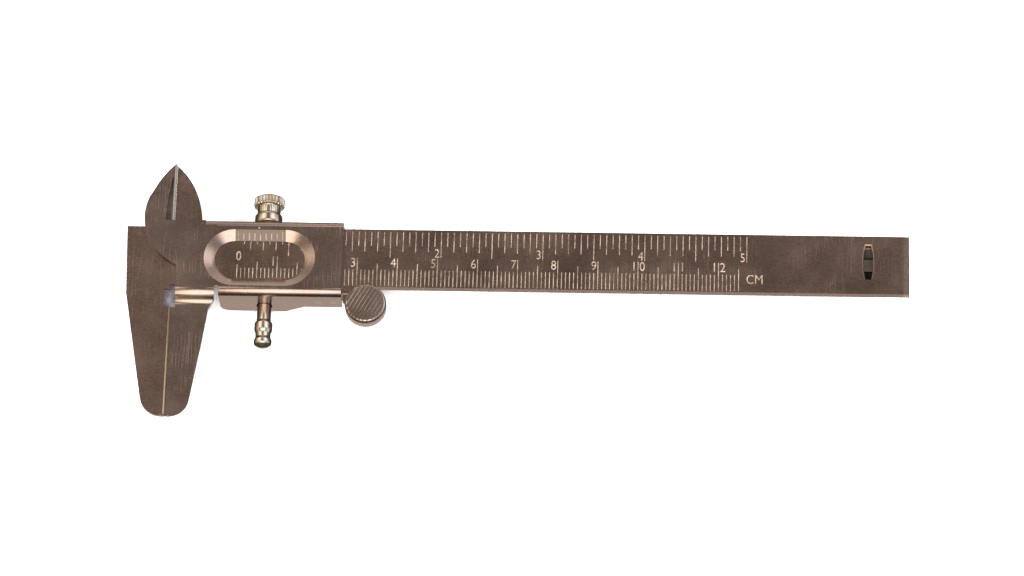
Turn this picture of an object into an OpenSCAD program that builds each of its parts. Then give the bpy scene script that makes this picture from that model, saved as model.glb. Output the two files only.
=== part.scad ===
// Pocket vernier caliper: a flat beam with a folded sheet slider around it.
// It lies on its back: X runs along the beam, Y towards the inside blades, Z out of the front.

/* [Beam] */
// Distance from the measuring plane to the free end of the beam
beam_reach = 183.6; // [175:0.1:190]
// Height of the beam
beam_h = 15.7; // [15:0.1:17]
// Thickness of the beam and its fixed jaw
beam_t = 2; // [1.6:0.1:2.4]
// Width of the fixed jaw where it leaves the beam
jaw_w = 11.8; // [10:0.1:14]
// Reach of the outside jaws below the beam
jaw_reach = 35; // [30:0.5:40]
// Reach of the inside blades above the beam
blade_reach = 16.9; // [12:0.1:18]
// Distance from the measuring plane to the rod keeper
keeper_x = 173.4; // [172:0.1:176]

/* [Slider] */
// Length of the slider from the measuring plane
slider_len = 42.5; // [42:0.1:45]
// Thickness of the folded sheet
sheet_t = 1.2; // [1:0.1:1.4]
// Height of the slider's face above the beam's face
face_z = 1.5; // [1.4:0.1:1.8]
// Depth of the slider behind the beam's face
back_depth = 6.4; // [6:0.1:7]
// Depth of the housing around the lock spindle
housing_depth = 9.4; // [9:0.1:10]
// Distance from the measuring plane to the middle of the window
window_x = 21.8; // [21:0.1:24]
// Opening height of the window at its bottom
window_h = 10; // [9:0.1:11]

/* [Lock] */
// Distance from the measuring plane to the lock spindle
spindle_x = 23; // [22:0.1:25]
// Diameter of the lock spindle
spindle_d = 3.5; // [3:0.1:4]
// Diameter of the knurled head
knob_d = 7.8; // [7:0.1:9]
// Travel of the lock spindle when it is pressed
press_travel = 0.35; // [0.2:0.01:0.4]

/* [Thumb rest] */
// Diameter of the thumb disc
disc_d = 10.3; // [9:0.1:12]
// Thickness of the thumb disc
disc_t = 3.8; // [3:0.1:5]
// Distance from the measuring plane to the thumb disc's centre
disc_x = 48.8; // [48.5:0.1:50]

/* [Hidden] */
$fn = 64;

eps = 0.05;
// Running clearance on the radius of a turning or sliding pin
run_gap = 0.04;
// Walls of the slider: outer faces below and above the beam
wall_low = -2.9;
wall_high = beam_h + 1.55;
inner_low = wall_low + sheet_t;
inner_high = wall_high - sheet_t;
plate_back = face_z - sheet_t;
fold_r = 1.7;
// Front face of the moving jaw, whose back is flush with the beam's back
jaw_front = sheet_t - beam_t;
// Relief notch at the root of the outside jaws
notch_w = 1.7;
notch_low = -6;
notch_high = -1.25;
notch_floor = -1;
// Where the fixed sections of the slider start and end along the beam
slider_start = 1.2;
left_fold_end = 10.9;
wall_start = 11.9;
top_fold_start = 7.4;
// Housing around the spindle, along the beam
housing_start = 14.7;
housing_end = 28.2;
shallow_start = 33;
// Tip of both inside blades
blade_tip = beam_h + blade_reach;
// Depth rod
rod_w = 3.2;
rod_y = beam_h / 2 + 0.8;
rod_front = -beam_t - 0.15;
rod_t = 1.25;
rod_start = 15.4;
// Middles of the guide blocks along the beam
front_block_x = 17.2;
rear_block_x = 38.1;
// Keeper strap and its slot
slot_l = 9.1;
slot_w = 2.3;
slot_rim = 0.3;
strap_w = 2.6;
strap_t = 0.7;
// Spindle axis and its stations along Y
spindle_z = -6.2;
ring_d = 4.5;
neck_d = 2.2;
spindle_low = -14.4;
spindle_high = 25.4;
bush_r = 2.3;
wall_hole_r = 2;
shoulder_y = 12.2;
collar_low = 19.05;
collar_h = 2.85;
collar_d = 6.9;
waist_d = 5.8;
waist_low = collar_low + collar_h + 0.05;
head_low = 23.85;
head_h = 2.6;
// Brake shoe
ring_low = 4.8;
ring_high = 6.4;
toe_low = inner_low + press_travel + 0.1;
toe_high = -0.05;
shoe_w = 5;
// Lower bush
bush_top = 1.6;
seat_t = 0.3;
back_t = 0.8;
// Thumb disc centre height
disc_y = -5.6;
disc_back = -0.8;
arm_t = 1;
flag_back = disc_back - arm_t - 0.02;
disc_rivet_r = 1.1;
rivet_r = 0.9;

// Lowest, highest and middle points, which place the origin under the middle of the box
box_x = [-jaw_w, beam_reach];
box_y = [-jaw_reach, blade_tip];
origin = [(box_x[0] + box_x[1]) / 2, (box_y[0] + box_y[1]) / 2, spindle_z - knob_d / 2];

module placed() {
    translate(-origin) children();
}

// A prism of a side profile: the profile's x is the object's Y, its y is the object's Z
module along_x(x0, x1) {
    translate([x0, 0, 0]) rotate([90, 0, 90]) linear_extrude(height = x1 - x0) children();
}

// A prism of a top profile: the profile's x is the object's X, its y is the object's Z
module along_y(y0, y1) {
    translate([0, y1, 0]) rotate([90, 0, 0]) linear_extrude(height = y1 - y0) children();
}

// A turned piece with its axis along Y, from points of radius and height
module turned(points) {
    rotate([-90, 0, 0]) rotate_extrude() polygon(points);
}

module pin_along_y(r, y0, y1) {
    translate([0, y0, 0]) rotate([-90, 0, 0]) cylinder(r = r, h = y1 - y0);
}

module slab(x0, x1, y0, y1, z0, z1) {
    translate([x0, y0, z0]) cube([x1 - x0, y1 - y0, z1 - z0]);
}

function arc(cx, cy, r, a0, a1, n) =
    [for (i = [0 : n]) [cx + r * cos(a0 + (a1 - a0) * i / n), cy + r * sin(a0 + (a1 - a0) * i / n)]];

// Outlines seen from the front

module fixed_jaw_outline() {
    tip_r = 5.5;
    tip_x = -0.8;
    difference() {
        polygon(concat([[0, beam_h], [-jaw_w, beam_h], [-jaw_w + 0.65, -2.6]],
            arc(tip_x, tip_r - jaw_reach, tip_r, 190, 278, 16), [[0, 0.06 - jaw_reach]]));
        translate([-notch_w, notch_low]) square([notch_w + 1, notch_high - notch_low]);
    }
}

module fixed_blade_outline() {
    blade_r = 20.96;
    intersection() {
        translate([6.85 - blade_r, beam_h + 1.3]) circle(r = blade_r, $fn = 128);
        polygon([[0, beam_h - 1], [7.1, beam_h - 1], [7.1, blade_tip],
                 [0, blade_tip]]);
    }
}

module moving_blade_outline() {
    arc_r = 14.2;
    arc_x = 6.7;
    arc_y = 18;
    difference() {
        union() {
            intersection() {
                translate([arc_x, arc_y]) circle(r = arc_r, $fn = 128);
                translate([-8, 3]) square([9.5, 20.6]);
            }
            polygon([[-0.1, blade_tip], [-2.1, 30.4], [-3.35, 28.75], [-4.4, 27.1], [-5.3, 25.4],
                     [-6.25, 23.6], [-6, 18], [0, 18], [0, blade_tip - 0.3]]);
        }
        translate([slider_start, 3]) square([3, 8]);
        translate([0, beam_h + 1.2]) square([3, 12]);
    }
}

// The beam, with the fixed outside jaw, the fixed inside blade and the rod keeper
module beam() {
    color([0.42, 0.38, 0.35]) placed() {
        difference() {
            translate([0, 0, -beam_t]) linear_extrude(height = beam_t) union() {
                fixed_jaw_outline();
                fixed_blade_outline();
                translate([-1, 0]) square([beam_reach + 1, beam_h]);
            }
            keeper_slot();
            measuring_edge();
        }
        notch_ledge();
        keeper_strap();
    }
}

// The fixed jaw's front edge is ground to a narrow bevel where the jaws meet
module measuring_edge() {
    bevel = 0.3;
    along_y(-jaw_reach - 1, notch_low + 1) polygon([
        [-bevel, 0], [0, -bevel], [1, -bevel], [1, 1], [-bevel, 1]]);
}

// The relief notch at the jaws' root is milled half way through the beam
module notch_ledge() {
    slab(-notch_w - eps, eps, notch_low - eps, notch_high + eps, -beam_t, notch_floor);
    slab(0, slider_start - 0.1, notch_low + 0.1, eps, -beam_t, notch_floor);
}

// A slot with bowed sides and blunt ends, cut through the beam over the keeper strap
module keeper_slot() {
    half_l = slot_l / 2;
    bow = 0.5;
    bow_r = (half_l * half_l + bow * bow) / (2 * bow);
    translate([keeper_x, rod_y, 0]) {
        intersection() {
            bowed_side(-1, bow_r, bow_r, -beam_t - 1, 1);
            bowed_side(1, bow_r, bow_r, -beam_t - 1, 1);
            slab(-slot_w, slot_w, -half_l, half_l, -beam_t - 1, 1);
        }
        intersection() {
            bowed_side(-1, bow_r, bow_r + 2 * slot_rim, -slot_rim, slot_rim);
            bowed_side(1, bow_r, bow_r + 2 * slot_rim, -slot_rim, slot_rim);
            along_x(-slot_w, slot_w) polygon([
                [-half_l, -slot_rim], [-half_l - 2 * slot_rim, slot_rim],
                [half_l + 2 * slot_rim, slot_rim], [half_l, -slot_rim]]);
        }
    }
}

// One bowed side of the slot: a wide disc or cone whose rim is that side
module bowed_side(side, r_low, r_high, z_low, z_high) {
    translate([side * (slot_w / 2 - r_low), 0, z_low])
        cylinder(r1 = r_low, r2 = r_high, h = z_high - z_low, $fn = 160);
}

// The strap pressed out of the beam, which holds the depth rod against its back
module keeper_strap() {
    depth = rod_t + 0.35;
    run = rod_w / 2 + 0.25;
    foot = slot_l / 2 + 1.2;
    top = -beam_t;
    along_x(keeper_x - strap_w / 2, keeper_x + strap_w / 2) translate([rod_y, 0]) polygon([
        [-foot, top + eps], [-foot + 1.4, top + eps], [-run, top - depth], [run, top - depth],
        [foot - 1.4, top + eps], [foot, top + eps], [foot, top - 0.25],
        [run + 0.4, top - depth - strap_t], [-run - 0.4, top - depth - strap_t], [-foot, top - 0.25]]);
}

// Side profile of the channel: front plate with the two walls folded back from it
module channel_profile(low, high) {
    difference() {
        intersection() {
            union() {
                translate([wall_low + fold_r, -housing_depth])
                    square([wall_high - wall_low - 2 * fold_r, housing_depth + face_z]);
                translate([wall_low, -housing_depth])
                    square([wall_high - wall_low, housing_depth + face_z - fold_r]);
                translate([wall_low + fold_r, face_z - fold_r]) circle(r = fold_r);
                translate([wall_high - fold_r, face_z - fold_r]) circle(r = fold_r);
            }
            translate([low, -housing_depth]) square([high - low, housing_depth + face_z]);
        }
        translate([inner_low + 0.5, -housing_depth - 1])
            square([inner_high - inner_low - 1, housing_depth + plate_back + 1]);
        translate([inner_low, -housing_depth - 1])
            square([inner_high - inner_low, housing_depth + plate_back + 0.5]);
        translate([inner_low + 0.5, plate_back - 0.5]) circle(r = 0.5);
        translate([inner_high - 0.5, plate_back - 0.5]) circle(r = 0.5);
    }
}

// Side profile of the joggle that sets the moving jaw back until it is flush with the beam's back
module joggle_profile() {
    turn = 58;
    r_out = 2.4;
    r_in = 1.6;
    start_y = -1.45;
    side = [cos(90 + turn), sin(90 + turn)];
    slope = [-cos(turn), -sin(turn)];
    straight = (face_z - jaw_front - (r_out + r_in) * (1 - cos(turn))) / sin(turn);
    c1 = [start_y, face_z - r_out];
    c2 = c1 + (r_out + r_in) * side + straight * slope;
    polygon(concat(
        [[blade_tip + 1, face_z]],
        arc(c1[0], c1[1], r_out, 90, 90 + turn, 10),
        arc(c2[0], c2[1], r_in, 270 + turn, 270, 8),
        [[-jaw_reach - 1, jaw_front], [-jaw_reach - 1, -beam_t]],
        arc(c2[0], c2[1], r_in + sheet_t, 270, 270 + turn, 10),
        arc(c1[0], c1[1], r_out - sheet_t, 90 + turn, 90, 8),
        [[blade_tip + 1, plate_back]]));
}

// Front outline of the sheet left of the walls: blade, plate and moving jaw
module moving_front_outline() {
    moving_blade_outline();
    translate([slider_start, -3]) square([left_fold_end - slider_start, beam_h + 3]);
    translate([slider_start - 0.2, 4.9]) square([2, beam_h - 3.7]);
    translate([-1, 8]) square([9, beam_h + 1.2 - 8]);
    translate([left_fold_end - eps, -0.8]) square([wall_start - left_fold_end + 0.3, beam_h]);
    moving_jaw_outline();
}

module moving_jaw_outline() {
    tip_r = 5;
    tip_x = 0.9;
    polygon(concat([[0, 0.1 - jaw_reach], [0, notch_low], [slider_start, notch_low],
                    [slider_start, -2.9], [left_fold_end, -2.9], [left_fold_end - 0.1, -3.6],
                    [9.4, -6.1], [8.1, -16]],
        arc(tip_x, tip_r - jaw_reach, tip_r, -8.6, -100, 14)));
}

// The window: a funnel with round ends, cut down to just above the beam
module window_cut() {
    half_span = 6.3;
    lip_z = 0.12;
    r_low = window_h / 2;
    r_high = r_low + 2.6;
    grow = (r_high - r_low) / (face_z - lip_z);
    r_top = r_high + grow * 0.5;
    for (side = [-1, 1])
        translate([window_x + side * half_span, window_y(), lip_z])
            cylinder(r1 = r_low, r2 = r_top, h = face_z - lip_z + 0.5, $fn = 96);
    along_x(window_x - half_span, window_x + half_span) translate([window_y(), 0]) polygon([
        [-r_low, lip_z], [-r_top, face_z + 0.5], [r_top, face_z + 0.5], [r_low, lip_z]]);
}

function window_y() = beam_h / 2 - 0.95;

// The lip pressed down around the window until it nearly touches the beam
module window_lip() {
    half_span = 6.3;
    lip_r = window_h / 2 + 0.9;
    for (side = [-1, 1])
        translate([window_x + side * half_span, window_y(), 0.12]) cylinder(r = lip_r, h = 0.4);
    slab(window_x - half_span, window_x + half_span, window_y() - lip_r, window_y() + lip_r,
         0.12, 0.52);
}

// Top profile of the walls: deep around the spindle, shallow further along
module wall_depth_profile() {
    corner = housing_start - wall_start;
    polygon(concat([[wall_start, face_z + 1]],
        arc(housing_start, corner - housing_depth, corner, 180, 270, 10),
        [[housing_end, -housing_depth], [shallow_start, -back_depth],
         [slider_len, -back_depth], [slider_len, face_z + 1]]));
}

// The slider's pressed sheet: front plate, walls, moving inside blade and moving outside jaw
module slider_shell() {
    color([0.45, 0.40, 0.37]) placed() difference() {
        union() {
            intersection() {
                translate([0, 0, -3]) linear_extrude(height = 6) moving_front_outline();
                along_x(-9, wall_start + 0.3) joggle_profile();
            }
            intersection() {
                along_x(wall_start, slider_len) channel_profile(wall_low, wall_high);
                along_y(wall_low - 1, wall_high + 1) wall_depth_profile();
            }
            intersection() {
                along_x(top_fold_start, wall_start + eps) channel_profile(beam_h - 2, wall_high);
                along_y(wall_low - 1, wall_high + 1)
                    translate([0, -4]) square([wall_start + 1, 4 + face_z + 1]);
            }
            window_lip();
        }
        window_cut();
        blade_relief();
        translate([spindle_x, 0, spindle_z]) pin_along_y(wall_hole_r, wall_low - 1, inner_low + 1);
        translate([spindle_x, 0, spindle_z]) pin_along_y(wall_hole_r, inner_high - 1, wall_high + 1);
        rivet_rows() cylinder(r = rivet_r, h = 2, center = true);
    }
}

// The ground relief beside the measuring edge of the moving blade, and the bevelled edge itself
module blade_relief() {
    low = beam_h + 1.2;
    translate([0, 0, face_z - 0.55]) linear_extrude(height = 1)
        polygon([[-2.2, low], [-0.95, low], [-0.55, blade_tip - 4], [-0.9, blade_tip - 4],
                 [-1.7, blade_tip - 9]]);
    along_y(low, blade_tip + 1) polygon([[-0.45, face_z], [0, face_z - 0.45], [0.5, face_z - 0.45],
                                         [0.5, face_z + 0.5], [-0.45, face_z + 0.5]]);
}

// Places of the two rivets through the arm's foot and the lower wall
module rivet_rows() {
    for (x = [36.6, 40.4])
        translate([x, inner_low - sheet_t / 2, -3.6]) rotate([90, 0, 0]) children();
}

// The pressed back plate, raised over the spindle
module slider_back_plate() {
    color([0.45, 0.41, 0.38]) placed() difference() {
        along_y(inner_low, inner_high) polygon([
            [housing_start, -housing_depth], [housing_end, -housing_depth],
            [shallow_start, -back_depth], [slider_len - 0.8, -back_depth],
            [slider_len - 0.8, back_t - back_depth], [shallow_start + 0.25, back_t - back_depth],
            [housing_end + 0.25, back_t - housing_depth], [housing_start, back_t - housing_depth]]);
        back_rivet_places() flush_rivet();
    }
}

// Two places under the front block and two under the rear block
module back_rivet_places() {
    for (y = [3.2, 12.6]) {
        translate([front_block_x, y, -housing_depth]) children();
        translate([rear_block_x, y, -back_depth]) children();
    }
}

// A countersunk rivet, flush with the back plate
module flush_rivet() {
    cylinder(r1 = 1.7, r2 = rivet_r, h = back_t);
    cylinder(r = rivet_r, h = 2.6);
}

module back_plate_rivets() {
    color([0.6, 0.57, 0.53]) placed() back_rivet_places() flush_rivet();
}

// Solid blocks soldered between the walls, which carry the back plate and guide the beam
module guide_block_front() {
    color([0.55, 0.5, 0.45]) placed() difference() {
        slab(front_block_x - 2.4, front_block_x + 2.4, inner_low, inner_high,
             back_t - housing_depth, -beam_t - 0.06);
        rod_channel(front_block_x - 3, front_block_x + 3);
        back_rivet_places() flush_rivet();
        rod_pin_hole();
    }
}

module guide_block_rear() {
    color([0.55, 0.5, 0.45]) placed() difference() {
        slab(rear_block_x - 3.5, rear_block_x + 3.5, inner_low + arm_t, inner_high,
             back_t - back_depth, -beam_t - 0.06);
        rod_channel(rear_block_x - 4, rear_block_x + 4);
        back_rivet_places() flush_rivet();
        rivet_rows() cylinder(r = rivet_r, h = 5.6, center = true);
    }
}

// The groove in the blocks' front faces in which the depth rod lies
module rod_channel(x0, x1) {
    slab(x0, x1, rod_y - rod_w / 2, rod_y + rod_w / 2, rod_front - rod_t, 0);
}

module rod_pin_hole() {
    translate([front_block_x, rod_y, rod_front - rod_t - 1.5]) cylinder(r = 0.6, h = 4);
}

// The bowed strip between the beam's upper edge and the slider's upper wall
module gib_spring() {
    thickness = 0.2;
    low = beam_h + 0.03;
    bow = inner_high - 0.01 - low - thickness;
    color([0.7, 0.6, 0.35]) placed() translate([0, 0, -beam_t + 0.2])
        linear_extrude(height = beam_t - 0.4) polygon(concat(
            [for (i = [0 : 16]) [13 + 28 * i / 16, low + bow * (0.5 - 0.5 * cos(720 * i / 16))]],
            [for (i = [16 : -1 : 0]) [13 + 28 * i / 16,
                low + thickness + bow * (0.5 - 0.5 * cos(720 * i / 16))]]));
}

// The flat rod for depths, carried by the slider along the beam's back
module depth_rod() {
    color([0.6, 0.56, 0.52]) placed() difference() {
        translate([0, 0, rod_front - rod_t]) linear_extrude(height = rod_t) polygon([
            [rod_start, rod_y - rod_w / 2], [beam_reach - 1.6, rod_y - rod_w / 2],
            [beam_reach, rod_y - 0.6], [beam_reach, rod_y + rod_w / 2],
            [rod_start, rod_y + rod_w / 2]]);
        rod_pin_hole();
    }
}

module depth_rod_pin() {
    color([0.65, 0.62, 0.58]) placed() translate([front_block_x, rod_y, rod_front - rod_t - 1.5])
        cylinder(r = 0.6, h = rod_t + 1.45);
}

// The turned spindle: grooved button below, shoulder inside, thin threaded end above
module lock_spindle() {
    r = spindle_d / 2;
    ring_r = ring_d / 2;
    neck_r = neck_d / 2;
    color([0.75, 0.72, 0.66]) placed() translate([spindle_x, 0, spindle_z]) difference() {
        turned(concat(
            [[0, spindle_low], [1, spindle_low + 0.1]],
            [[ring_r, spindle_low + 0.9], [ring_r, -12.3], [ring_r - 0.2, -12], [1.9, -11.6]],
            [[1.9, -10.5], [ring_r - 0.15, -10.05], [ring_r, -9.7], [ring_r, -7.9]],
            [[ring_r - 0.2, -7.5], [r, -7.2], [r, shoulder_y], [neck_r, shoulder_y]],
            [[neck_r, spindle_high - 0.3]],
            [[neck_r - 0.3, spindle_high], [0, spindle_high]]));
        translate([0, (ring_low + ring_high) / 2, 0]) cylinder(r = 0.5, h = 8, center = true);
    }
}

module spindle_bush_lower() {
    bush(inner_low, bush_top, spindle_d / 2 + run_gap);
}

module spindle_bush_upper() {
    bush(inner_high - 1.6, inner_high, neck_d / 2 + run_gap);
}

// A bush lies against the wall's inner face; the upper one has a spigot in the wall's hole
module bush(y0, y1, bore_r) {
    color([0.72, 0.6, 0.35]) placed() translate([spindle_x, 0, spindle_z]) difference() {
        union() {
            pin_along_y(bush_r, y0, y1);
            if (y0 > 0) pin_along_y(wall_hole_r, y1 - eps, wall_high);
        }
        pin_along_y(bore_r, y0 - 3, y1 + 3);
    }
}

// The shoe hooks under the beam's lower edge and is pinned to the spindle
module brake_shoe() {
    leg_back = -3.5;
    leg_front = -beam_t - 0.25;
    color([0.5, 0.47, 0.42]) placed() difference() {
        union() {
            translate([spindle_x, 0, spindle_z]) pin_along_y(bush_r, ring_low, ring_high);
            slab(spindle_x - shoe_w / 2, spindle_x + shoe_w / 2, ring_low, ring_high,
                 spindle_z, leg_front);
            slab(spindle_x - shoe_w / 2, spindle_x + shoe_w / 2, toe_low, ring_high, leg_back, leg_front);
            slab(spindle_x - shoe_w / 2, spindle_x + shoe_w / 2, toe_low, toe_high, leg_back, -0.15);
        }
        translate([spindle_x, 0, spindle_z]) pin_along_y(spindle_d / 2, ring_low - 1, ring_high + 1);
        translate([spindle_x, (ring_low + ring_high) / 2, spindle_z])
            cylinder(r = 0.5, h = 5, center = true);
    }
}

module brake_shoe_pin() {
    color([0.6, 0.58, 0.55]) placed()
        translate([spindle_x, (ring_low + ring_high) / 2, spindle_z - 2.2]) cylinder(r = 0.5, h = 4.6);
}

module spring_seat() {
    color([0.6, 0.58, 0.55]) placed() translate([spindle_x, 0, spindle_z]) difference() {
        pin_along_y(bush_r, bush_top, bush_top + seat_t);
        pin_along_y(spindle_d / 2 + run_gap, bush_top - 1, bush_top + 1);
    }
}

// The coil spring between its seat and the shoe, as one swept wire
module lock_spring() {
    wire_r = 0.18;
    coil_r = spindle_d / 2 + 0.3;
    turns = 4;
    steps = 20;
    sides = 8;
    low = bush_top + seat_t + wire_r + 0.02;
    rise = ring_low - wire_r - 0.02 - low;
    count = turns * steps;
    function ring_at(i) = [for (j = [0 : sides - 1])
        let (a = 360 * i / steps, b = 360 * j / sides, rr = coil_r + wire_r * cos(b))
        [rr * cos(a), low + rise * i / count + wire_r * sin(b), rr * sin(a)]];
    points = [for (i = [0 : count]) each ring_at(i)];
    walls = [for (i = [0 : count - 1], j = [0 : sides - 1])
        let (k = (j + 1) % sides)
        [i * sides + j, i * sides + k, (i + 1) * sides + k, (i + 1) * sides + j]];
    ends = [[for (j = [sides - 1 : -1 : 0]) j], [for (j = [0 : sides - 1]) count * sides + j]];
    color([0.5, 0.5, 0.5]) placed() translate([spindle_x, 0, spindle_z])
        polyhedron(points = points, faces = concat(walls, ends), convexity = 6);
}

// The jam collar under the knurled head
module knob_collar() {
    r = collar_d / 2;
    color([0.75, 0.72, 0.66]) placed() translate([spindle_x, 0, spindle_z]) difference() {
        turned([[0, collar_low], [r - 0.3, collar_low], [r, collar_low + 0.3],
                [r, collar_low + collar_h - 0.6], [r - 0.4, collar_low + collar_h],
                [0, collar_low + collar_h]]);
        pin_along_y(neck_d / 2 + run_gap, collar_low - 1, collar_low + collar_h + 1);
    }
}

// The knurled head that screws along the spindle's thread
module lock_knob() {
    r = knob_d / 2;
    teeth = 24;
    color([0.78, 0.75, 0.68]) placed() translate([spindle_x, 0, spindle_z]) difference() {
        turned([[0, waist_low], [waist_d / 2, waist_low], [waist_d / 2, head_low],
                [r - 0.4, head_low], [r, head_low + 0.5], [r, head_low + head_h - 0.4],
                [r - 0.4, head_low + head_h], [0, head_low + head_h]]);
        pin_along_y(neck_d / 2 + run_gap, waist_low - 1, head_low + head_h + 1);
        for (i = [0 : teeth - 1])
            rotate([0, 360 * (i + 0.5) / teeth, 0]) translate([r + 0.18, 0, 0])
                pin_along_y(0.38, head_low - 0.2, head_low + head_h + 1);
    }
}

// The arm: a foot inside the lower wall, and a flag that carries the thumb disc
module thumb_arm() {
    color([0.5, 0.46, 0.42]) placed() difference() {
        union() {
            slab(34.8, 45.4, inner_low, inner_low + arm_t, -5, -0.4);
            translate([0, 0, flag_back]) linear_extrude(height = arm_t) polygon([
                [42.9, inner_low + arm_t], [50.5, inner_low + arm_t], [51.2, -7.8], [46.6, -7.8],
                [42.9, -3.7]]);
        }
        rivet_rows() cylinder(r = rivet_r, h = 6, center = true);
        translate([disc_x, disc_y, flag_back - 1]) cylinder(r = disc_rivet_r, h = 4);
    }
}

module thumb_arm_rivets() {
    color([0.6, 0.57, 0.53]) placed() rivet_rows()
        translate([0, 0, -2.7]) cylinder(r = rivet_r, h = 2.7 + sheet_t / 2);
}

module thumb_disc() {
    r = disc_d / 2;
    color([0.47, 0.42, 0.4]) placed() translate([disc_x, disc_y, disc_back]) difference() {
        rotate_extrude() polygon(concat([[0, 0], [r - 0.25, 0], [r, 0.25]],
            arc(r - 0.4, disc_t - 0.4, 0.4, 0, 90, 5), [[0, disc_t]]));
        translate([0, 0, -1]) cylinder(r = disc_rivet_r, h = 3.4);
    }
}

module thumb_disc_rivet() {
    color([0.6, 0.57, 0.53]) placed() translate([disc_x, disc_y, flag_back]) {
        cylinder(r = disc_rivet_r, h = disc_back - flag_back + 2.4);
        translate([0, 0, -0.5]) cylinder(r = disc_rivet_r + 0.5, h = 0.5);
    }
}

beam();
slider_shell();
slider_back_plate();
back_plate_rivets();
guide_block_front();
guide_block_rear();
gib_spring();
depth_rod();
depth_rod_pin();
lock_spindle();
spindle_bush_lower();
spindle_bush_upper();
brake_shoe();
brake_shoe_pin();
spring_seat();
lock_spring();
knob_collar();
lock_knob();
thumb_arm();
thumb_arm_rivets();
thumb_disc();
thumb_disc_rivet();
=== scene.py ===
import math

import bmesh
import bpy
from mathutils import Matrix, Vector


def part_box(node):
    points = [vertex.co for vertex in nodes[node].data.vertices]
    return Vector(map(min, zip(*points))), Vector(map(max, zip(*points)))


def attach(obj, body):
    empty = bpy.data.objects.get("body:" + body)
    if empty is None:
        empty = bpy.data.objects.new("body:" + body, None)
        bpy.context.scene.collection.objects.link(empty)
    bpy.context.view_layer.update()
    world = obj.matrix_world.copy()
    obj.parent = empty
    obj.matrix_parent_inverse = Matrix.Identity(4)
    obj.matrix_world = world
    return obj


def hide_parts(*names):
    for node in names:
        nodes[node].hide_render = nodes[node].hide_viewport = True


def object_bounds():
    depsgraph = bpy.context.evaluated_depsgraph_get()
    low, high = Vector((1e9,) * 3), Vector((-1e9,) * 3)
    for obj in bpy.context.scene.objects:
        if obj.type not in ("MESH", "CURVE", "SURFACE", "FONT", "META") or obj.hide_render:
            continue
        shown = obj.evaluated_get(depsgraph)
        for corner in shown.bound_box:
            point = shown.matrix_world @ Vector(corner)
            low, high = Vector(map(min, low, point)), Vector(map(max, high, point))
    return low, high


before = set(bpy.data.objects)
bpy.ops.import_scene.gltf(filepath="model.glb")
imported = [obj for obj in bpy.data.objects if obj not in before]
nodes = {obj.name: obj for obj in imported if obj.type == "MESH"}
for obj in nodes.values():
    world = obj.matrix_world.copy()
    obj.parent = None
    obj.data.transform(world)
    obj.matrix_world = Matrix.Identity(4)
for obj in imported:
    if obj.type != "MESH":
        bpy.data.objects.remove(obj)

cad_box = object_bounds()
MM = 0.001


# ---------------------------------------------------------------------------------------------
# Beam. One steel plate, stamped with the fixed outside jaw, the fixed inside blade and the
# keeper strap, then ground, engraved with both scales and nickel plated. Years of use have
# dulled the plating and left fine specks and hairline scratches.

class Tap:
    """A socket in a material: arithmetic on it adds the Math node that does it."""

    def __init__(self, tree, socket=None):
        self.tree = tree
        self.socket = socket

    def node(self, kind, settings=None, sockets=None, out=0):
        made = self.tree.nodes.new(kind)
        for key, value in (settings or {}).items():
            if key == "stops":
                for i, (place, shade) in enumerate(value):
                    stops = made.color_ramp.elements
                    stop = stops[i] if i < len(stops) else stops.new(place)
                    stop.position = place
                    stop.color = shade
            else:
                setattr(made, key, value)
        for key, value in (sockets or {}).items():
            if isinstance(value, Tap):
                self.tree.links.new(value.socket, made.inputs[key])
            else:
                made.inputs[key].default_value = value
        return Tap(self.tree, made.outputs[out])

    def maths(self, operation, first, second=0.0):
        return self.node("ShaderNodeMath", {"operation": operation}, {0: first, 1: second})

    def __add__(self, other):
        return self.maths("ADD", self, other)

    def __sub__(self, other):
        return self.maths("SUBTRACT", self, other)

    def __mul__(self, other):
        return self.maths("MULTIPLY", self, other)

    def __rsub__(self, other):
        return self.maths("SUBTRACT", other, self)

    __radd__ = __add__
    __rmul__ = __mul__

    def clip(self, low, high):
        """0 below low, 1 above high, straight between."""
        ranged = {"From Min": low, "From Max": high}
        return self.node("ShaderNodeMapRange", {"clamp": True}, {"Value": self, **ranged})

    def tint(self, low, high):
        """A colour between low at 0 and high at 1."""
        return self.node("ShaderNodeMix", {"data_type": "RGBA"}, {0: self, 6: low, 7: high}, 2)

    def noise(self, place, scale, detail=2.0, rough=0.5):
        return self.node("ShaderNodeTexNoise", {}, {
            "Vector": place, "Scale": scale, "Detail": detail, "Roughness": rough})

    def stretched(self, place, factors, turn=(0.0, 0.0, 0.0)):
        return self.node("ShaderNodeMapping", {}, {
            "Vector": place, "Scale": factors, "Rotation": turn})


def shade(value):
    """An sRGB grey or colour given as 0 to 255, as the linear colour that a shader takes."""
    numbers = [((c / 255 + 0.055) / 1.055) ** 2.4 for c in value]
    return (*numbers, 1.0)


def start_material(name):
    material = bpy.data.materials.new(name)
    material.use_nodes = True
    tree = material.node_tree
    bsdf = tree.nodes["Principled BSDF"]
    taps = Tap(tree)
    place = taps.node("ShaderNodeTexCoord", out=3)
    return material, tree, bsdf, taps, place


def feed(tree, bsdf, **sockets):
    for key, value in sockets.items():
        slot = bsdf.inputs[key.replace("_", " ")]
        if isinstance(value, Tap):
            tree.links.new(value.socket, slot)
        else:
            slot.default_value = value


def scratches(taps, place, angle, scale, width):
    """Hairlines along one direction: thin slices of a noise that is stretched along it."""
    lines = taps.stretched(place, (1.0, 0.035, 1.0), (0.0, 0.0, angle))
    wave = taps.noise(lines, scale, 1.0)
    near = taps.maths("ABSOLUTE", wave - 0.5)
    where = taps.noise(place, scale * 0.12, 1.0).clip(0.54, 0.62)
    return (1.0 - near.clip(0.0, width)) * where


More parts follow.
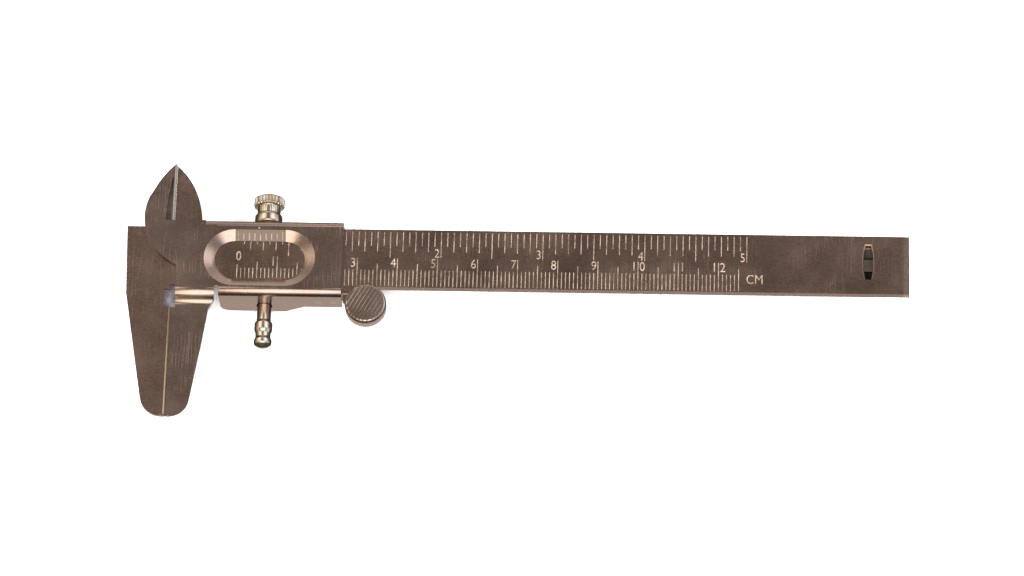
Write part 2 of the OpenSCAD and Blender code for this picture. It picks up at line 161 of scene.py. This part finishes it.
def nickel(name, dark, light, rough, streak=(0.5, 1.0, 1.0), bump=0.2, worn_x=None):
    """Worn nickel plate: cloudy tone, fine grain, specks and hairline scratches. Plate whose
    far end is rubbed bright gives that end's place along X as worn_x."""
    material, tree, bsdf, taps, place = start_material(name)
    cloud = taps.noise(place, 90.0, 4.0, 0.6)
    fine = taps.noise(taps.stretched(place, streak), 2600.0, 4.0, 0.7)
    speck = taps.node("ShaderNodeTexVoronoi", {}, {"Vector": place, "Scale": 560.0})
    rare = taps.noise(place, 260.0, 2.0).clip(0.52, 0.6)
    specks = (1.0 - speck.clip(0.03, 0.1)) * rare
    hair = scratches(taps, place, 0.5, 900.0, 0.012) + scratches(taps, place, -1.1, 700.0, 0.010)
    hair = hair + scratches(taps, place, 1.45, 1200.0, 0.010)
    tone = (cloud * 0.5 + fine * 0.5).clip(0.22, 0.8)
    tone = tone + specks * 0.7 + hair * 0.3
    if worn_x:
        along = taps.node("ShaderNodeSeparateXYZ", {}, {0: place}, 0)
        rubbed = along.clip(worn_x - 0.0019, worn_x - 0.0002)
        tone = tone + rubbed * (fine + 0.4) * 1.6
    feed(tree, bsdf, Metallic=1.0, Base_Color=tone.clip(0.0, 1.3).tint(dark, light),
         Roughness=(cloud * 0.18 + fine * 0.14 + (rough - 0.16)).clip(0.0, 1.0))
    height = fine * 0.6 - hair * 0.8 - specks * 0.5
    normal = taps.node("ShaderNodeBump", {}, {
        "Strength": bump, "Distance": 0.00003, "Height": height})
    feed(tree, bsdf, Normal=normal)
    return material


def engraving_fill(name, low, high):
    """The floor of a cut line: plating that never gets rubbed, with dirt in patches. The same fill,
    in darker greys, is painted shade on hollow floors.
    """
    material, tree, bsdf, taps, place = start_material(name)
    patch = taps.noise(place, 420.0, 3.0, 0.6).clip(0.36, 0.62)
    grit = taps.noise(place, 4200.0, 2.0).clip(0.3, 0.7)
    tone = patch * 0.75 + grit * 0.25
    feed(tree, bsdf, Metallic=0.35, Roughness=0.62, Base_Color=tone.tint(low, high))
    normal = taps.node("ShaderNodeBump", {}, {"Strength": 0.4, "Distance": 0.00002, "Height": grit})
    feed(tree, bsdf, Normal=normal)
    return material


def add_bar(bm, x, y, z, wide, tall, deep, tilt=0.0):
    """A box centred on x, y, z, tilted about X to lie on a slope."""
    where = Matrix.Translation((x, y, z)) @ Matrix.Rotation(tilt, 4, "X")
    bmesh.ops.create_cube(bm, size=1.0, matrix=where @ Matrix.Diagonal((wide, tall, deep, 1.0)))


def add_label(bm, words, x, y, z, tall, deep, side="RIGHT", squeeze=0.82):
    """Generic scale lettering, as closed solids that reach deep into the face."""
    curve = bpy.data.curves.new("label", "FONT")
    curve.body = words
    curve.size = tall * 1.37
    curve.align_x = side
    curve.extrude = deep
    curve.resolution_u = 3
    label = bpy.data.objects.new("label", curve)
    bpy.context.scene.collection.objects.link(label)
    graph = bpy.context.evaluated_depsgraph_get()
    mesh = bpy.data.meshes.new_from_object(label.evaluated_get(graph))
    mesh.transform(Matrix.Translation((x, y, z)) @ Matrix.Diagonal((squeeze, 1.0, 1.0, 1.0)))
    bm.from_mesh(mesh)
    bpy.data.objects.remove(label)
    bpy.data.curves.remove(curve)
    bpy.data.meshes.remove(mesh)


def link_mesh(name, mesh, body, slot, *stands_for):
    piece = bpy.data.objects.new(name, mesh)
    bpy.context.scene.collection.objects.link(piece)
    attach(piece, body)
    if stands_for:
        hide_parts(*stands_for)
    return piece


def soften(mesh, angle=26.0):
    """Smooth curves; flat faces and edges sharper than the angle stay crisp."""
    if "custom_normal" in mesh.attributes:
        mesh.attributes.remove(mesh.attributes["custom_normal"])
    mesh.set_sharp_from_angle(angle=math.radians(angle))
    for face in mesh.polygons:
        level = max(abs(part) for part in face.normal) > 0.99995
        face.use_smooth = not level and len(face.vertices) < 6


def break_edges(part, width):
    """Small bevels on every edge sharper than 35 degrees."""
    broken = part.modifiers.new("edges", "BEVEL")
    broken.width = width
    broken.segments = 2
    broken.limit_method = "ANGLE"
    broken.angle_limit = math.radians(35)


def carve(part, cutter, materials=()):
    """The part's finished mesh with the cutter taken out of it. The rough part goes away."""
    tool_mesh = bpy.data.meshes.new("cuts")
    cutter.to_mesh(tool_mesh)
    cutter.free()
    for material in materials:
        tool_mesh.materials.append(material)
    tool = bpy.data.objects.new("cuts", tool_mesh)
    bpy.context.scene.collection.objects.link(tool)
    cut = part.modifiers.new("cuts", "BOOLEAN")
    cut.operation = "DIFFERENCE"
    cut.solver = "EXACT"
    cut.object = tool
    graph = bpy.context.evaluated_depsgraph_get()
    mesh = bpy.data.meshes.new_from_object(part.evaluated_get(graph))
    bpy.data.objects.remove(part)
    bpy.data.objects.remove(tool)
    return mesh


def carved_copy(name, node, cutter, edge, materials, body, slot, zones):
    """The node's own solid with its edges broken and the cutter's grooves cut into it.
    The first material is the plate's, the second is the grooves', and each zone is a box with
    the number of the material for the faces whose middles lie in it."""
    source = bmesh.new()
    source.from_mesh(nodes[node].data)
    bmesh.ops.remove_doubles(source, verts=source.verts, dist=0.000001)
    bmesh.ops.dissolve_limit(source, angle_limit=math.radians(0.1), verts=source.verts,
                             edges=source.edges)
    for face in source.faces:
        middle = face.calc_center_median()
        face.material_index = 0
        for low, high, index in zones:
            if (low.x < middle.x < high.x and low.y < middle.y < high.y
                    and low.z < middle.z < high.z):
                face.material_index = index
    plate_mesh = bpy.data.meshes.new(name)
    source.to_mesh(plate_mesh)
    source.free()
    plate = bpy.data.objects.new(name + "_rough", plate_mesh)
    bpy.context.scene.collection.objects.link(plate)
    for material in materials:
        plate_mesh.materials.append(material)
    break_edges(plate, edge)
    for face in cutter.faces:
        face.material_index = 1
    mesh = carve(plate, cutter, materials)
    mesh.name = name
    soften(mesh)
    return link_mesh(name, mesh, body, slot, node)


beam_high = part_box("beam")[1]
beam_reach = 183.6 * MM
beam_height = 15.7 * MM
blade_height = 32.6 * MM
plane_x = beam_high.x - beam_reach
edge_y = cad_box[1][1] - blade_height
top_y = edge_y + beam_height
front_z = beam_high.z
zero_x = plane_x + 16.2 * MM
inch = 25.4 * MM
groove = 0.09 * MM
line_wide = 0.21 * MM
digit_tall = 2.6 * MM
digit_low = edge_y + 5.4 * MM

scales = bmesh.new()


def tick(x, low, high):
    add_bar(scales, x, (low + high) / 2, front_z, line_wide, high - low, 2 * groove)


for i in range(126):
    reach = 5.6 if i == 0 else 7.9 if i % 10 == 0 else 6.4 if i % 5 == 0 else 4.7
    tick(zero_x + i * MM, edge_y + 0.25 * MM, edge_y + reach * MM)
for i in range(81):
    reach = 7.6 if i % 8 == 0 else 6.1 if i % 2 == 0 else 4.5
    tick(zero_x + i * inch / 16, top_y - reach * MM, top_y - 0.65 * MM)
for i in range(1, 13):
    place_x = zero_x + 10 * i * MM
    add_label(scales, str(i)[0], place_x - 0.3 * MM, digit_low, front_z, digit_tall, groove)
    if i > 9:
        add_label(scales, str(i)[1], place_x + 0.3 * MM, digit_low, front_z, digit_tall,
                  groove, "LEFT")
add_label(scales, "0", zero_x + 0.3 * MM, edge_y + 6.7 * MM, front_z, digit_tall, groove,
          "CENTER")
for i in range(1, 6):
    add_label(scales, str(i), zero_x + inch * i - 0.3 * MM, top_y - 7.5 * MM, front_z,
              2.5 * MM, groove)
for i, letter in enumerate("CM"):
    add_label(scales, letter, zero_x + (126.8 + 2.1 * i) * MM, edge_y + 2.3 * MM, front_z,
              digit_tall, groove, "LEFT")


def zone(x0, x1, y0, y1, z0, z1, index):
    """A box in millimetres from the measuring plane, the lower edge and the front face."""
    return (Vector((plane_x + x0 * MM, edge_y + y0 * MM, front_z + z0 * MM)),
            Vector((plane_x + x1 * MM, edge_y + y1 * MM, front_z + z1 * MM)), index)


# Painted shade: the notch's floor takes a darker grey fill, which stands in for the shade in the
# recess.
notch = zone(-3.0, 2.0, -7.0, 0.0, -1.1, -0.9, 2)
# Painted shade: the strap's inner floor and slopes take the near-black fill, which stands in for
# the shadow inside the strap.
strap_floor = zone(172.2, 174.6, 5.1, 12.2, -3.7, -3.5, 3)
strap_slopes = zone(172.2, 174.6, 4.2, 13.1, -2.5, -2.1, 3)
# Painted highlight: the chamfer on the fixed jaw's measuring edge takes a pale golden plate, which
# stands in for the light it catches.
jaw_edge = zone(-0.29, -0.01, -36.0, -5.0, -0.29, -0.01, 4)
# Painted shade for the notch's floor: a darker grey fill.
painted_notch_shade = engraving_fill("painted_notch_shade", shade((74, 70, 74)), shade((122, 117, 122)))
beam_face = nickel("beam_face", shade((136, 112, 102)), shade((190, 165, 154)), 0.27,
                   worn_x=beam_high.x)
cut_line = engraving_fill("cut_line", shade((106, 90, 78)), shade((182, 163, 148)))
# Painted shade for hollows: a near-black fill.
painted_hollow_shade = engraving_fill("painted_hollow_shade", shade((34, 28, 25)), shade((66, 56, 50)))
# Painted highlight for the jaw's measuring edge: a pale golden plate.
painted_edge_highlight = nickel("painted_edge_highlight", shade((186, 164, 118)), shade((240, 222, 176)), 0.3)
carved_copy("beam_plate", "beam", scales, 0.1 * MM,
            [beam_face, cut_line, painted_notch_shade, painted_hollow_shade, painted_edge_highlight], "beam", "beam_steel",
            [notch, strap_floor, strap_slopes, jaw_edge])


# ---------------------------------------------------------------------------------------------
# Depth rod and its pin. Flat drawn strip that slides along the beam's back; the pin holds it
# in the front guide block. Drawing marks run along the whole length.

def dress(node, material, edge=0.0):
    """A node kept as it is, with its own finish and, if asked, broken edges."""
    part = nodes[node]
    part.data.materials.clear()
    part.data.materials.append(material)
    if edge:
        break_edges(part, edge)


rod_finish = nickel("drawn_strip", shade((120, 112, 104)), shade((190, 180, 170)), 0.3,
                    (0.02, 1.0, 1.0))
bright_pin = nickel("bright_pin", shade((150, 142, 132)), shade((215, 205, 192)), 0.22)
dress("depth_rod", rod_finish)
dress("depth_rod_pin", bright_pin)


# ---------------------------------------------------------------------------------------------
# Slider sheet. One pressed blank: the front plate with its coined window, both folded walls,
# the moving inside blade and the joggled moving jaw. The vernier is cut into the window's
# upper bevel, eight parts to seven sixteenths of an inch.

sheet_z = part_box("slider_shell")[1].z
window_y = edge_y + 6.9 * MM
bevel_rise, bevel_run = 1.38, 2.6
slope = math.atan2(bevel_rise, bevel_run)
vernier = bmesh.new()
for i in range(9):
    reach = 2.3 if i in (0, 8) else 1.8
    y = window_y + (5.15 + reach / 2 * math.cos(slope)) * MM
    z = front_z + (0.12 + 0.15 * math.tan(slope) + reach / 2 * math.sin(slope)) * MM
    add_bar(vernier, zero_x + i * 7 * inch / 16 / 8, y, z, 0.19 * MM, reach * MM,
            2 * groove, slope)
add_bar(vernier, zero_x + 5.2 * MM, window_y + 8.1 * MM, sheet_z, 0.5 * MM, 0.5 * MM, 2 * groove)
# Painted shade: the recess beside the moving blade takes the near-black fill, which stands in for
# its shadow.
relief = zone(-2.4, -0.3, 16.0, 32.0, 0.85, 1.05, 2)
# Painted highlight: the moving blade's bevel takes a near-white plate, which stands in for the
# light it catches.
blade_edge = zone(-0.44, -0.01, 16.0, 33.0, 1.06, 1.49, 3)
# Painted shade: the window's upper bevel, which carries the vernier, takes a darker plate so that
# it mirrors the bright room less.
vernier_slope = zone(18.0, 26.0, 11.0, 15.5, 0.3, 1.3, 4)

sheet_face = nickel("sheet_face", shade((154, 130, 120)), shade((208, 187, 177)), 0.22)
# Painted shade for the window's upper bevel: a darker plate.
slope_shade = nickel("painted_slope_shade", shade((90, 79, 73)), shade((120, 108, 101)), 0.3)
# Painted highlight for the blade's bevel: a near-white plate.
painted_blade_highlight = nickel("painted_blade_highlight", shade((215, 204, 196)), shade((248, 240, 232)), 0.3)
carved_copy("slider_sheet", "slider_shell", vernier, 0.18 * MM,
            [sheet_face, cut_line, painted_hollow_shade, painted_blade_highlight, slope_shade], "slider", "slider_sheet",
            [relief, blade_edge, vernier_slope])


# ---------------------------------------------------------------------------------------------
# Back of the slider. A pressed plate closes it, with four flush rivets into two sawn blocks;
# a bowed brass strip takes up the play above the beam.

block_finish = nickel("sawn_steel", shade((105, 98, 92)), shade((170, 160, 150)), 0.42)
brass_finish = nickel("plain_brass", shade((150, 118, 62)), shade((214, 178, 110)), 0.34)
dress("slider_back_plate", sheet_face, 0.12 * MM)
dress("back_plate_rivets", bright_pin)
dress("guide_block_front", block_finish)
dress("guide_block_rear", block_finish)
dress("gib_spring", brass_finish)


# ---------------------------------------------------------------------------------------------
# Lock spindle and brake. A turned and polished spindle passes through two bushes; the shoe
# pinned to it hooks under the beam, and a small coil spring holds it there.

def turned(name, x, z, profile, steps, material, body, slot, node, wave=None):
    """A lathe form about Y. profile holds radius and height; wave scales the radius by angle."""
    bm = bmesh.new()
    rings = []
    for radius, y in profile:
        ring = []
        for i in range(steps):
            angle = 2 * math.pi * i / steps
            r = radius * (wave(angle, radius) if wave else 1.0)
            ring.append(bm.verts.new((x + r * math.cos(angle), y, z + r * math.sin(angle))))
        rings.append(ring)
    for lower, upper in zip(rings, rings[1:]):
        for i in range(steps):
            j = (i + 1) % steps
            bm.faces.new((lower[i], upper[i], upper[j], lower[j]))
    if profile[0] == profile[-1]:
        for i in range(steps):
            bmesh.ops.pointmerge(bm, verts=(rings[0][i], rings[-1][i]), merge_co=rings[0][i].co)
    else:
        bm.faces.new(rings[0])
        bm.faces.new(list(reversed(rings[-1])))
    bmesh.ops.recalc_face_normals(bm, faces=bm.faces)
    mesh = bpy.data.meshes.new(name)
    bm.to_mesh(mesh)
    bm.free()
    mesh.materials.append(material)
    soften(mesh, 32.0)
    return link_mesh(name, mesh, body, slot, node)


def rounded(points, radius, parts=4):
    """A profile with each inner corner replaced by a small curve."""
    out = [points[0]]
    for before, here, after in zip(points, points[1:], points[2:]):
        a, b, c = Vector(before), Vector(here), Vector(after)
        reach = min(radius, (a - b).length * 0.45, (c - b).length * 0.45)
        start = b + (a - b).normalized() * reach
        end = b + (c - b).normalized() * reach
        for i in range(parts + 1):
            t = i / parts
            out.append(tuple((1 - t) ** 2 * start + 2 * t * (1 - t) * b + t ** 2 * end))
    out.append(points[-1])
    return out


spindle_low, spindle_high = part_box("lock_spindle")
axis_x = (spindle_low.x + spindle_high.x) / 2
axis_z = (spindle_low.z + spindle_high.z) / 2
polish = nickel("turned_polish", shade((186, 172, 156)), shade((238, 228, 214)), 0.22,
                (1.0, 6.0, 1.0), 0.15)


def from_bottom(points):
    return [(r * MM, spindle_low.y + y * MM) for r, y in points]


pitch = 0.45
crest, root = 1.1, 0.98
thread = []
for i in range(19):
    thread += [(crest, 30.7 + pitch * i), (root, 30.92 + pitch * i)]
spindle_form = from_bottom([
    (0.02, 0.0), (1.0, 0.1), (2.05, 0.75), (2.25, 1.05), (2.25, 2.1), (2.05, 2.4), (1.9, 2.8),
    (1.9, 3.9), (2.1, 4.35), (2.25, 4.7), (2.25, 6.5), (2.05, 6.9), (1.75, 7.2), (1.75, 26.6),
    (crest, 26.6), *thread, (crest, 39.4), (0.8, 39.8), (0.02, 39.8)])
turned("spindle_turned", axis_x, axis_z, rounded(spindle_form, 0.2 * MM), 72, polish, "spindle",
       "turned_steel", "lock_spindle")
dress("spindle_bush_lower", brass_finish)
dress("spindle_bush_upper", brass_finish)
dress("brake_shoe", block_finish, 0.1 * MM)
dress("brake_shoe_pin", bright_pin)
dress("spring_seat", block_finish)


def coil(name, x, z, low, high, radius, wire, turns, material, body, slot, node):
    """Round wire wound about Y, its first and last turns closed up."""
    bm = bmesh.new()
    per_turn, around = 40, 10
    count = turns * per_turn
    previous = None
    for i in range(count + 1):
        t = i / count
        ease = t + 0.06 * math.sin(4 * math.pi * t)
        angle = 2 * math.pi * i / per_turn
        ring = []
        for j in range(around):
            b = 2 * math.pi * j / around
            r = radius + wire * math.cos(b)
            y = low + wire + (high - low - 2 * wire) * ease + wire * math.sin(b)
            ring.append(bm.verts.new((x + r * math.cos(angle), y, z + r * math.sin(angle))))
        if previous:
            for j in range(around):
                k = (j + 1) % around
                bm.faces.new((previous[j], previous[k], ring[k], ring[j]))
        else:
            bm.faces.new(ring)
        previous = ring
    bm.faces.new(list(reversed(previous)))
    bmesh.ops.recalc_face_normals(bm, faces=bm.faces)
    mesh = bpy.data.meshes.new(name)
    bm.to_mesh(mesh)
    bm.free()
    mesh.materials.append(material)
    soften(mesh, 60.0)
    return link_mesh(name, mesh, body, slot, node)


spring_low, spring_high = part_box("lock_spring")
spring_wire = nickel("spring_wire", shade((92, 90, 92)), shade((150, 148, 150)), 0.3)
coil("spring_coil", axis_x, axis_z, spring_low.y, spring_high.y, 2.05 * MM, 0.18 * MM, 4,
     spring_wire, "slider", "spring_steel", "lock_spring")


# ---------------------------------------------------------------------------------------------
# Collar and knurled head. Two turned nuts on the spindle's thread: the plain collar jams
# against the head, and the head carries a coarse straight knurl rolled into its rim.

collar_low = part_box("knob_collar")[0]
head_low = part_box("lock_knob")[0]
bore = 1.14


def ring_form(low, points):
    """A closed profile from radius and height above low, ending where it starts."""
    form = [(r * MM, low + y * MM) for r, y in points]
    return form + [form[0]]


turned("collar_turned", axis_x, axis_z, ring_form(collar_low.y, [
    (bore, 0.0), (2.75, 0.0), (3.2, 0.1), (3.4, 0.35), (3.45, 0.7), (3.45, 2.0), (3.35, 2.45),
    (3.1, 2.75), (2.85, 2.85), (bore, 2.85)]), 96, polish, "collar", "turned_steel", "knob_collar")

TEETH = 26


def knurl(angle, radius):
    """Rounded teeth, deepest at the rim and gone towards the bore."""
    depth = 0.085 * min(1.0, max(0.0, (radius / MM - 2.8) / 0.8))
    return 1.0 - depth * (0.5 - 0.5 * math.cos(TEETH * angle)) ** 1.5


turned("head_turned", axis_x, axis_z, ring_form(head_low.y, [
    (bore, 0.0), (2.75, 0.0), (2.9, 0.12), (2.9, 1.8), (3.0, 1.95), (3.4, 2.0), (3.75, 2.2),
    (3.9, 2.55), (3.9, 3.95), (3.84, 4.2), (3.66, 4.38), (3.3, 4.47), (2.7, 4.5),
    (bore, 4.5)]), TEETH * 10, polish, "knob", "turned_steel", "lock_knob", knurl)


# ---------------------------------------------------------------------------------------------
# Thumb rest. A short arm riveted inside the lower wall carries a thick turned disc; its face
# is filed with coarse slanting cuts for grip and its rim is left bright.

def grooved_disc(name, node, material, body, slot):
    low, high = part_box(node)
    centre = (low + high) / 2
    radius = (high.x - low.x) / 2
    thick = high.z - low.z
    steps = 128
    form = rounded([(0.02 * MM, 0.0), (radius - 0.2 * MM, 0.0), (radius, 0.25 * MM),
                    (radius, thick - 0.55 * MM), (radius - 0.35 * MM, thick),
                    (0.02 * MM, thick)], 0.5 * MM, 5)
    bm = bmesh.new()
    rings = [[bm.verts.new((centre.x + r * math.cos(2 * math.pi * i / steps),
                            centre.y + r * math.sin(2 * math.pi * i / steps), low.z + z))
              for i in range(steps)] for r, z in form]
    for lower, upper in zip(rings, rings[1:]):
        for i in range(steps):
            j = (i + 1) % steps
            bm.faces.new((lower[i], lower[j], upper[j], upper[i]))
    bm.faces.new(list(reversed(rings[0])))
    bm.faces.new(rings[-1])
    bmesh.ops.recalc_face_normals(bm, faces=bm.faces)
    disc_mesh = bpy.data.meshes.new(name)
    bm.to_mesh(disc_mesh)
    bm.free()
    disc_mesh.materials.append(material)
    disc = bpy.data.objects.new("disc_rough", disc_mesh)
    bpy.context.scene.collection.objects.link(disc)
    cuts = bmesh.new()
    lean = math.radians(-28)
    for i in range(-5, 6):
        across = i * 0.92 * MM
        deep = (0.3 - 0.03 * i) * MM
        x = centre.x + across * math.cos(lean)
        y = centre.y + across * math.sin(lean)
        where = Matrix.Translation((x, y, high.z + 0.02 * MM)) @ Matrix.Rotation(lean, 4, "Z")
        where = where @ Matrix.Rotation(math.radians(1.3), 4, "X")
        where = where @ Matrix.Rotation(math.radians(45), 4, "Y")
        size = Matrix.Diagonal((deep, 2.4 * radius, deep, 1.0))
        bmesh.ops.create_cube(cuts, size=1.0, matrix=where @ size)
    mesh = carve(disc, cuts)
    soften(mesh, 24.0)
    return link_mesh(name, mesh, body, slot, node)


disc_face = nickel("disc_face", shade((168, 148, 138)), shade((222, 204, 192)), 0.26)
grooved_disc("disc_filed", "thumb_disc", disc_face, "slider", "disc_steel")
dress("thumb_arm", sheet_face, 0.15 * MM)
dress("thumb_arm_rivets", bright_pin)
dress("thumb_disc_rivet", bright_pin)


# ---------------------------------------------------------------------------------------------
# Floor, light and camera. A plain white sheet lies under the tool, lit by three soft lamps. The
# plating mirrors neither sheet nor lamps: it mirrors the room, a soft gradient with a dark
# ceiling, a bright belt in front, two bright sides and a pale table below.

ground = bmesh.new()
bmesh.ops.create_grid(ground, x_segments=1, y_segments=1, size=1.5)
floor_mesh = bpy.data.meshes.new("floor")
ground.to_mesh(floor_mesh)
ground.free()
floor = bpy.data.objects.new("floor", floor_mesh)
bpy.context.scene.collection.objects.link(floor)
floor.location.z = cad_box[0][2] - 0.0002
paper, paper_tree, paper_bsdf = start_material("white_paper")[:3]
feed(paper_tree, paper_bsdf, Base_Color=(0.93, 0.93, 0.93, 1.0), Roughness=0.9)
floor_mesh.materials.append(paper)


def lamp(name, where, size, power):
    """A soft white rectangle of light, turned to the middle of the tool."""
    light = bpy.data.lights.new(name, "AREA")
    light.shape = "RECTANGLE"
    light.size, light.size_y = size
    light.energy = power
    holder = bpy.data.objects.new(name, light)
    bpy.context.scene.collection.objects.link(holder)
    holder.location = where
    holder.rotation_euler = (Vector((0, 0, 0)) - Vector(where)).to_track_quat("-Z", "Y").to_euler()
    holder.visible_glossy = False


lamp("left_lamp", (-0.9, 0.15, 0.7), (0.9, 0.6), 22.0)
lamp("right_lamp", (0.9, 0.15, 0.7), (0.9, 0.6), 22.0)
lamp("front_lamp", (0.0, -0.9, 0.9), (1.4, 0.4), 24.0)

world = bpy.data.worlds.new("room")
bpy.context.scene.world = world
world.use_nodes = True
air = Tap(world.node_tree)
heading = air.node("ShaderNodeTexCoord", out=0)
along = air.node("ShaderNodeSeparateXYZ", {}, {0: heading}, 0)
away = air.node("ShaderNodeSeparateXYZ", {}, {0: heading}, 1)
rise = air.node("ShaderNodeSeparateXYZ", {}, {0: heading}, 2)

# The faces turned up mirror the patch called overhead to the camera, so its dark sets their tone.
overhead = (away * 0.4 + rise * 0.916).clip(0.82, 0.95)
walls = rise.clip(-0.08, 0.15) * (1.6 - overhead)
beside = air.maths("ABSOLUTE", along)
sides = beside.clip(0.75, 0.95) * rise.clip(-0.1, 0.1)
lobes = (beside * 0.56 + away * 0.4 + rise * 0.72).clip(0.905, 0.98)
belt = (rise * 0.766 - away * 0.643).clip(0.82, 0.93)
behind = away.clip(0.7, 0.97) * rise.clip(-0.2, 0.0)
table = (0.0 - rise).clip(0.87, 0.93)
glow = 0.08 + walls * 0.2 + sides * 0.8 + lobes * 1.5 + belt * 2.6 + behind * 0.5 + table * 1.1
warm = along.clip(-0.9, 0.6)
hue = warm.tint((1.0, 0.87, 0.68, 1.0), (1.0, 0.98, 0.98, 1.0))
backdrop = world.node_tree.nodes["Background"]
world.node_tree.links.new(hue.socket, backdrop.inputs["Color"])
world.node_tree.links.new(glow.socket, backdrop.inputs["Strength"])
floor.visible_glossy = False
bpy.context.scene.view_settings.view_transform = "Standard"

aim = Vector((plane_x + 84.96 * MM, edge_y + 0.25 * MM, front_z))
around, above, roll, reach = math.radians(4.65), math.radians(66.3), math.radians(-3.42), 1.243
toward = Vector((math.sin(around) * math.cos(above), -math.cos(around) * math.cos(above),
                 math.sin(above)))
right = Vector((math.cos(around), math.sin(around), 0.0))
up = toward.cross(right)
level_right = right * math.cos(roll) + up * math.sin(roll)
level_up = up * math.cos(roll) - right * math.sin(roll)
lens = bpy.data.cameras.new("camera")
lens.sensor_width = 36.0
lens.lens = 175.8
lens.clip_start = 0.05
camera = bpy.data.objects.new("camera", lens)
bpy.context.scene.collection.objects.link(camera)
stand = Matrix((level_right, level_up, toward)).transposed().to_4x4()
stand.translation = aim + toward * reach
camera.matrix_world = stand
bpy.context.scene.camera = camera
